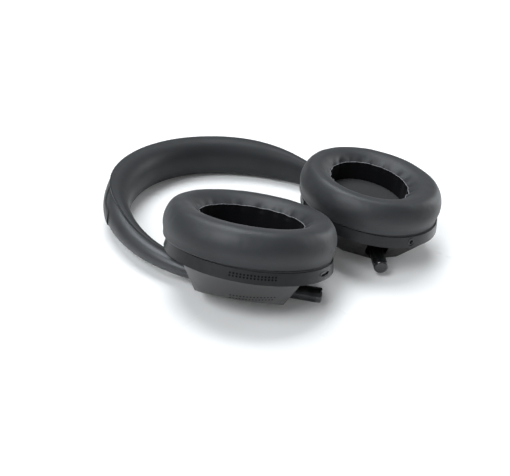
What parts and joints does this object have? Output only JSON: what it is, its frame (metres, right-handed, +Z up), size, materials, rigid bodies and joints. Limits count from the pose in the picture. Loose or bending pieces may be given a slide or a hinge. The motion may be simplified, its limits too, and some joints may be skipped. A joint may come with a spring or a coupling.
{
  "type": "over-ear wireless headphones",
  "caption": "Folding over-ear headphones with a padded sprung band and ear cups that slide, swivel and tilt on round steel arms.",
  "frame": {"origin": "on the table, under the middle of the object's box", "axes": "+Z up from the table; +Y towards the crown of the band; +X towards the wearer's left ear cup; the wearer's face side of the band is +Z"},
  "size_m": [0.184, 0.1966, 0.0534],
  "materials": {
    "satin_steel": "satin",
    "band_padding": "soft matt",
    "cover_rubber": "matt",
    "black_plastic": "matt",
    "cable_jacket": "matt",
    "gloss_black": "gloss",
    "inner_steel": "satin",
    "satin_shell": "satin",
    "rim_plastic": "satin",
    "film": "gloss",
    "board": "satin",
    "gold_brass": "satin",
    "pad_leather": "soft grain",
    "mesh_cloth": "mesh",
    "foil_wrap": "satin",
    "clear_light": "frosted"
  },
  "bodies": {
    "headband": {"steel_band": "satin_steel", "crown_cushion": "band_padding", "crown_cover": "cover_rubber", "crown_carrier": "black_plastic", "band_cable": "cable_jacket", "right_arm_liner": "black_plastic", "left_arm_liner": "black_plastic", "right_rod": "satin_steel", "left_rod": "satin_steel", "right_rod_cap": "gloss_black", "left_rod_cap": "gloss_black"},
    "right_slider": {"right_slider_sleeve": "black_plastic"},
    "right_swivel": {"right_swivel_collar": "inner_steel"},
    "right_cup": {"right_tilt_bracket": "inner_steel", "right_screws": "inner_steel", "right_outer_shell": "satin_shell", "right_rim": "rim_plastic", "right_baffle": "black_plastic", "right_driver_frame": "black_plastic", "right_diaphragm": "film", "right_magnet": "inner_steel", "right_circuit_board": "board", "right_microphone": "gold_brass", "right_pad_ring": "black_plastic", "right_ear_cushion": "pad_leather", "right_scrim": "mesh_cloth", "usb_receptacle": "inner_steel", "usb_tongue": "board", "battery_cell": "foil_wrap", "touch_sensor": "gold_brass", "status_light": "clear_light"},
    "left_slider": {"left_slider_sleeve": "black_plastic"},
    "left_swivel": {"left_swivel_collar": "inner_steel"},
    "left_cup": {"left_tilt_bracket": "inner_steel", "left_screws": "inner_steel", "left_outer_shell": "satin_shell", "left_rim": "rim_plastic", "left_baffle": "black_plastic", "left_driver_frame": "black_plastic", "left_diaphragm": "film", "left_magnet": "inner_steel", "left_circuit_board": "board", "left_microphone": "gold_brass", "left_pad_ring": "black_plastic", "left_ear_cushion": "pad_leather", "left_scrim": "mesh_cloth", "jack_socket": "inner_steel"},
    "power_button": {"power_button": "gloss_black"},
    "assistant_button": {"assistant_button": "gloss_black"},
    "mode_button": {"mode_button": "gloss_black"}
  },
  "joints": [
    {"name": "right_slide", "type": "slide", "parent": "headband", "child": "right_slider", "axis": [-0.6534, 0.7564, 0.0304], "range_m": [0, 0.008]},
    {"name": "right_swivel", "type": "hinge", "parent": "right_slider", "child": "right_swivel", "pos_m": [-0.05062, -0.06112, 0.0084], "axis": [-0.6534, 0.7564, 0.0304], "range_deg": [-18.1, 81.9]},
    {"name": "right_tilt", "type": "hinge", "parent": "right_swivel", "child": "right_cup", "pos_m": [-0.05062, -0.06112, 0.0084], "axis": [0.7373, 0.645, -0.2009], "range_deg": [-2.7, 4.3]},
    {"name": "left_slide", "type": "slide", "parent": "headband", "child": "left_slider", "axis": [0.6534, 0.7564, 0.0304], "range_m": [0, 0.008]},
    {"name": "left_swivel", "type": "hinge", "parent": "left_slider", "child": "left_swivel", "pos_m": [0.04614, -0.06112, 0.0084], "axis": [-0.6534, -0.7564, -0.0304], "range_deg": [-2.7, 11.3]},
    {"name": "left_tilt", "type": "hinge", "parent": "left_swivel", "child": "left_cup", "pos_m": [0.04614, -0.06112, 0.0084], "axis": [0.7564, -0.6508, -0.0663], "range_deg": [-0.5, 6.5]},
    {"name": "power_button_press", "type": "slide", "parent": "right_cup", "child": "power_button", "axis": [-0.8942, -0.3983, 0.2046], "range_m": [0, 0.0005], "stiffness_N_per_m": 800},
    {"name": "assistant_button_press", "type": "slide", "parent": "right_cup", "child": "assistant_button", "axis": [-0.6467, -0.7378, 0.1937], "range_m": [0, 0.0005], "stiffness_N_per_m": 800},
    {"name": "mode_button_press", "type": "slide", "parent": "left_cup", "child": "mode_button", "axis": [0.8068, -0.5872, -0.0657], "range_m": [0, 0.0005], "stiffness_N_per_m": 800}
  ]
}
